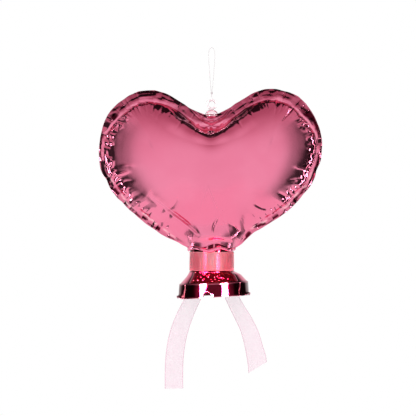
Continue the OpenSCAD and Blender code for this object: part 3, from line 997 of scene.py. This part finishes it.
def make_tail(name, route, start_x, slant, seed):
    """A ribbon tail: a strip carried along its route, pleated where it is gathered and flat
    further down, with a cut end that may slant. A short lead brings it up out of the knot and
    clear of the mouth. Returns the piece and its length."""
    rise = np.arange(0, 2.6, 0.4)[:0:-1]
    lead = np.stack([-0.1 * rise * np.sign(start_x), -0.18 * rise, -rise, 0 * rise], 1)
    x, back, down, turn = np.vstack([lead, smooth_line(route, 10)]).T
    centre = np.stack([start_x + x, TAIL_START_Y + back * TAIL_BACK, TAIL_START_Z - down], 1)
    length = float(steps_of(centre).sum())
    run = run_of(centre)[:, None]
    end = run[-1]
    width = mix(GATHER_W, RIBBON_W, ease(0, 1, (down + 4) / GATHER_LENGTH))
    side = np.stack([np.cos(np.radians(turn)), np.sin(np.radians(turn)), 0 * turn], 1)
    front = np.stack([side[:, 1], -side[:, 0], 0 * turn], 1)
    t = np.linspace(-1, 1, 31)[None]
    pleat = 0.17 * np.sqrt(np.clip(RIBBON_W ** 2 - width ** 2, 0, None))
    pleat = (pleat * mix(0.4, 1, ease(-1, 6, down)))[:, None] * np.sin(2.5 * np.pi * t)
    ripple = 0.5 * noise(run / 17, t * 0.8 + 5, seed) * ease(4, 40, run)
    cup = 0.35 * t ** 2 * np.sin(run / 15)
    points = (centre[:, None] + side[:, None] * (width[:, None] / 2 * t)[..., None]
              + front[:, None] * (pleat + ripple + cup)[..., None])
    points[..., 2] += ease(end - 22, end, run) * slant / 2 * t
    points[..., 2] += 0.15 * noise(t * 6, 0.5, seed + 1) * ease(end - 2, end, run)
    layers = {"across": (t + 1) / 2 * RIBBON_W + 0 * run, "along": run + 0 * t}
    faces = [grid_faces(*points.shape[:2], wrap_columns=False)]
    return thicken(make_mesh(name, points.reshape(-1, 3), faces, layers)), length


ribbon_wrap = make_wrap()
bow_knot = make_knot()
left_tail, left_length = make_tail("tail_ribbon_left", LEFT_TAIL, -TAIL_START_X, 0, 101)
right_tail, right_length = make_tail("tail_ribbon_right", RIGHT_TAIL, TAIL_START_X, 9, 105)
for piece, node, body in ((ribbon_wrap, "ribbon_band", "heart"), (bow_knot, "ribbon_knot", "heart"),
                          (left_tail, "ribbon_tail_left", "tail_left"),
                          (right_tail, "ribbon_tail_right", "tail_right")):
    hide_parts(node)
    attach(piece, body)


# ---------------------------------------------------------------- materials

class Value:
    """A number socket of a shader, with Python's operators as Math nodes."""

    def __init__(self, paint, socket):
        self.paint, self.socket = paint, socket

    def __add__(self, other): return self.paint.math("ADD", self, other)
    def __sub__(self, other): return self.paint.math("SUBTRACT", self, other)
    def __mul__(self, other): return self.paint.math("MULTIPLY", self, other)
    def __truediv__(self, other): return self.paint.math("DIVIDE", self, other)
    def __rsub__(self, other): return self.paint.math("SUBTRACT", other, self)
    def __rtruediv__(self, other): return self.paint.math("DIVIDE", other, self)
    __radd__, __rmul__ = __add__, __mul__


class Node:
    """A shader node that was added; value gives one of its outputs."""

    def __init__(self, paint, node):
        self.paint, self.node = paint, node

    def value(self, output):
        """One of the node's outputs, by name or number."""
        return Value(self.paint, self.node.outputs[output])


class Paint:
    """A new material or world, and the one way to add nodes to it."""

    def __init__(self, owner):
        owner.use_nodes = True
        self.owner, self.tree = owner, owner.node_tree
        self.tree.nodes.clear()

    def add(self, kind, settings, values):
        """Adds a node of a kind, sets its settings, then sets or links its input sockets."""
        node = self.tree.nodes.new(kind)
        for name, setting in settings.items():
            if name == "stops":
                ramp = node.color_ramp
                for k, (place, colour) in enumerate(setting):
                    stop = ramp.elements[k] if k < 2 else ramp.elements.new(place)
                    stop.position, stop.color = place, colour
            else:
                setattr(node, name, setting)
        for name, value in values.items():
            if isinstance(value, Value):
                self.tree.links.new(value.socket, node.inputs[name])
            else:
                node.inputs[name].default_value = value
        return Node(self, node)

    def math(self, operation, *values):
        """A Math node over one or two values."""
        return self.add("ShaderNodeMath", {"operation": operation}, dict(enumerate(values))).value(0)

    def noise(self, coords, scale, detail):
        """Noise from 0 to 1, scale bumps to a metre."""
        values = {"Vector": coords, "Scale": scale, "Detail": detail}
        return self.add("ShaderNodeTexNoise", {}, values).value("Fac")

    def between(self, low, high, x):
        """0 below low, 1 above high, a smooth step between."""
        return self.add("ShaderNodeMapRange", {"interpolation_type": "SMOOTHSTEP"},
                        {"Value": x, "From Min": low, "From Max": high}).value(0)

    def blend(self, factor, first, second):
        """Mixes two colours."""
        mixed = self.add("ShaderNodeMix", {"data_type": "RGBA"}, {"Factor": factor, 6: first, 7: second})
        return mixed.value(2)

    def objects(self):
        """Coordinates in the object's own frame, in metres."""
        return self.add("ShaderNodeTexCoord", {}, {}).value("Object")

    def attribute(self, name):
        """A value stored with the mesh's points."""
        return self.add("ShaderNodeAttribute", {"attribute_name": name}, {}).value("Fac")

    def bump(self, height, distance, strength):
        """A normal bent by a height, where 1 stands for a distance in metres."""
        values = {"Height": height, "Distance": distance, "Strength": strength}
        return self.add("ShaderNodeBump", {}, values).value(0)

    def principled(self, **values):
        """The general surface shader; each value is named as its socket, with _ for a blank."""
        values = {name.replace("_", " "): value for name, value in values.items()}
        return self.add("ShaderNodeBsdfPrincipled", {}, values).value(0)

    def finish(self, shader):
        """Sends a shader to the material's output and returns the material."""
        self.add("ShaderNodeOutputMaterial", {}, {"Surface": shader})
        return self.owner


def rgba(red, green, blue):
    """An opaque colour."""
    return (red, green, blue, 1.0)


def new_paint(name):
    """A new material, ready for its nodes."""
    return Paint(bpy.data.materials.new(name))


SKIN_DEPTH = 0.00004
THREAD_PITCH = 0.28


def pink_foil():
    """Vacuum-metallised pink: satin on the face, mirror bright in the crinkles, with painted shade and a
    painted highlight line along the seam.
    """
    p = new_paint("pink_foil")
    at = p.objects()
    crimp = p.attribute("crimp")
    cloud = p.noise(at, 28, 3)
    colour = p.blend(p.between(0.35, 0.7, cloud), rgba(0.86, 0.222, 0.36), rgba(0.88, 0.248, 0.39))
    # Painted shade: near-black red where the seam's foil should mirror black surroundings
    colour = p.blend(p.attribute("painted_shade"), colour, rgba(0.09, 0.003, 0.015))
    # Painted highlight: light pink along the seam's ledge line
    colour = p.blend(p.attribute("painted_highlight"), colour, rgba(1.0, 0.55, 0.62))
    rough = 0.24 - 0.17 * crimp + 0.05 * (p.noise(at, 90, 4) - 0.5)
    skin = p.noise(at, 420, 2) * 0.5 + p.noise(at, 1500, 2) * 0.2
    return p.finish(p.principled(Base_Color=colour, Metallic=1, Roughness=rough,
                                 Normal=p.bump(skin, SKIN_DEPTH, 0.6), Specular_IOR_Level=0.6))


def red_foil():
    """Vacuum-metallised deep red, mirror bright under clear lacquer, with a lighter red painted on the
    front panel for its brighter reflection and pink painted highlights.
    """
    p = new_paint("red_foil")
    at = p.objects()
    cloud = p.noise(at, 60, 3)
    deep = p.blend(p.between(0.3, 0.75, cloud), rgba(0.07, 0.0, 0.007), rgba(0.11, 0.001, 0.012))
    # Painted reflection: the crumpled front panel gets a lighter red, as if it caught brighter light
    crumpled = p.blend(p.attribute("panel"), deep, rgba(0.24, 0.001, 0.012))
    # Painted highlights, in pink, on the mouth's edges, frame lines, cone sides and neck
    colour = p.blend(p.attribute("painted_highlight"), crumpled, rgba(0.86, 0.22, 0.34))
    skin = p.noise(at, 260, 3)
    rough = 0.05 + 0.05 * p.noise(at, 200, 3)
    return p.finish(p.principled(Base_Color=colour, Metallic=1, Roughness=rough,
                                 Normal=p.bump(skin, SKIN_DEPTH, 0.5), Coat_Weight=0.12,
                                 Coat_Roughness=0.03))


def clear_plastic():
    """Clear moulded plastic with a trace of pink."""
    p = new_paint("clear_plastic")
    at = p.objects()
    rough = 0.06 + 0.06 * p.noise(at, 300, 2)
    return p.finish(p.principled(Base_Color=rgba(1.0, 0.86, 0.89), Roughness=rough, IOR=1.46,
                                 Transmission_Weight=1,
                                 Normal=p.bump(p.noise(at, 350, 2), 0.00005, 0.5)))


def nylon():
    """Clear nylon thread, a little milky."""
    p = new_paint("nylon")
    rough = 0.15 + 0.1 * p.noise(p.objects(), 600, 2)
    return p.finish(p.principled(Base_Color=rgba(0.86, 0.80, 0.82), Roughness=rough, Alpha=0.25,
                                 IOR=1.5))


def organza(name, thin, thick, colour, edge_colour):
    """Sheer plain weave: fine threads both ways with gaps between, and firmer selvedges. thin and
    thick are its cover in the gaps and on the threads."""
    p = new_paint(name)
    across, along = p.attribute("across"), p.attribute("along")
    per_thread = 2 * math.pi / THREAD_PITCH
    warp, weft = (p.math("SINE", place * per_thread) for place in (across, along))
    threads = p.math("MAXIMUM", warp, weft)
    edge = p.math("ABSOLUTE", across - RIBBON_W / 2)
    selvedge = p.between(RIBBON_W / 2 - 0.75, RIBBON_W / 2 - 0.45, edge)
    weave = p.between(-0.2, 0.9, threads)
    slub = p.noise(p.objects(), 260, 3)
    alpha = thin + (thick - thin) * weave + 0.22 * selvedge + 0.1 * (slub - 0.5)
    return p.finish(p.principled(Base_Color=p.blend(selvedge, colour, edge_colour),
                                 Roughness=0.42 + 0.2 * (slub - 0.5), Alpha=alpha,
                                 Sheen_Weight=0.35, Sheen_Roughness=0.4,
                                 Normal=p.bump(threads, SKIN_DEPTH, 0.5)))


def dress(piece, material):
    """Gives a piece its only material."""
    piece.data.materials.clear()
    piece.data.materials.append(material)


PINK, RED, CLEAR, NYLON = pink_foil(), red_foil(), clear_plastic(), nylon()
SHEER = organza("organza_sheer", 0.07, 0.24, rgba(0.93, 0.54, 0.73), rgba(0.90, 0.48, 0.66))
WRAPPED = organza("organza_wrapped", 0.4, 0.58, rgba(0.80, 0.145, 0.21), rgba(0.88, 0.28, 0.34))
for material, pieces in ((PINK, (heart_front, heart_back, neck_frill, cap_collar)),
                         (RED, (mouth_foil,)), (CLEAR, (clear_cap,)), (NYLON, (thread, thread_knot)),
                         (SHEER, (left_tail, right_tail)), (WRAPPED, (ribbon_wrap, bow_knot))):
    for piece in pieces:
        dress(piece, material)


# ---------------------------------------------------------------- studio

DARK_LEVEL = 0.04
STRIP_LEVEL = 10.0


def make_world():
    """Soft studio surroundings, plain white to the camera. Seen in reflections, the front is white
    and fades upwards to a dim red, the table below and a screen behind are white, the sides and
    the room above and behind are near black, and a bright strip stands at each side. All limits are
    angles in degrees: height over the horizon, and turn from the front."""
    world = bpy.data.worlds.new("studio")
    bpy.context.scene.world = world
    p = Paint(world)
    way = p.add("ShaderNodeTexCoord", {}, {}).value("Generated")
    parts = p.add("ShaderNodeSeparateXYZ", {}, {"Vector": way})
    x, y, z = (parts.value(k) for k in range(3))
    degrees = 180 / math.pi
    height = p.math("ARCSINE", z) * degrees
    turn = p.math("ARCTAN2", x, 0 - y) * degrees
    aside = p.math("ABSOLUTE", turn)
    front = 1 - p.between(44, 74, aside)
    back = p.between(120, 138, aside) * (1 - p.between(24, 40, height))
    above = p.between(10, 38, height) * (1 - p.between(95, 125, aside))
    table = 1 - p.between(-56, -30, height)
    white = p.math("MAXIMUM", p.math("MAXIMUM", front, above), p.math("MAXIMUM", back, table))
    fade = p.between(-14, 78, height)
    left_strip = p.between(-114, -113, turn) * (1 - p.between(-110, -109, turn))
    right_strip = p.between(98, 99, turn) * (1 - p.between(101.5, 102.5, turn))
    strip = (left_strip + right_strip) * p.between(-40, -34, height) * (1 - p.between(10, 20, height))
    level = mix(DARK_LEVEL, 1, white) * (1 - 0.54 * fade) + STRIP_LEVEL * strip
    tint = p.blend(fade, rgba(1, 1, 1), rgba(1.0, 0.56, 0.66))
    seen = p.add("ShaderNodeBackground", {}, {"Color": tint, "Strength": level}).value(0)
    plain = p.add("ShaderNodeBackground", {}, {"Color": rgba(1, 1, 1), "Strength": 1.0}).value(0)
    camera_ray = p.add("ShaderNodeLightPath", {}, {}).value("Is Camera Ray")
    both = p.add("ShaderNodeMixShader", {}, {0: camera_ray, 1: seen, 2: plain}).value(0)
    p.add("ShaderNodeOutputWorld", {}, {"Surface": both})


def make_floor():
    """A plain whitish table top well under the ornament."""
    data = bpy.data.meshes.new("floor")
    half, depth, height = 0.4, 1.2, -0.52
    data.from_pydata([(-half, -depth, height), (half, -depth, height), (half, depth, height),
                      (-half, depth, height)], [], [(0, 1, 2, 3)])
    floor = add_object("floor", data)
    p = new_paint("floor_paint")
    dress(floor, p.finish(p.principled(Base_Color=rgba(0.9, 0.9, 0.9), Roughness=0.7,
                                       Emission_Color=rgba(1, 1, 1), Emission_Strength=0.66)))


def linked(name, pieces):
    """A collection of the only pieces that a light shines on."""
    group = bpy.data.collections.new(name)
    for piece in pieces:
        group.objects.link(piece)
    return group


WINDOW_AWAY = 1.2
WINDOW_TALL = 1.1
WINDOW_Z = 0.2
# Name, turn in degrees from the front, width in metres, power in watts, sheen on the ribbon only
WINDOWS = [("window_left", -36, 0.4, 400, False), ("window_right", 34, 0.5, 480, False),
           ("sheen_left", -34, 0.34, 30, True), ("sheen_right", 28, 0.46, 60, True)]


def make_windows():
    """Two tall soft boxes that only the glossy mouth and the cap catch, and two weaker ones that
    put a sheen on the ribbon."""
    catchers = linked("catches_windows", (mouth_foil, clear_cap))
    sheen_catchers = linked("catches_sheen", (ribbon_wrap, bow_knot))
    for name, turn, width, power, glossy_only in WINDOWS:
        data = bpy.data.lights.new(name, "AREA")
        data.shape, data.size, data.size_y = "RECTANGLE", width, WINDOW_TALL
        data.energy = power
        lamp = add_object(name, data)
        angle = math.radians(turn)
        lamp.location = (WINDOW_AWAY * math.sin(angle), -WINDOW_AWAY * math.cos(angle), WINDOW_Z)
        lamp.rotation_euler = (math.radians(90), 0, angle)
        lamp.visible_camera = False
        lamp.visible_diffuse = not glossy_only
        lamp.light_linking.receiver_collection = sheen_catchers if glossy_only else catchers


def make_fill():
    """A soft light from the front that lifts only the ribbon."""
    data = bpy.data.lights.new("ribbon_fill", "SUN")
    data.energy, data.angle = 0.9, math.radians(30)
    lamp = add_object("ribbon_fill", data)
    lamp.rotation_euler = (math.radians(75), 0, 0)
    lamp.light_linking.receiver_collection = linked(
        "catches_fill", (left_tail, right_tail, ribbon_wrap, bow_knot))


make_world()
make_floor()
make_windows()
make_fill()
bpy.context.scene.view_settings.view_transform = "Standard"
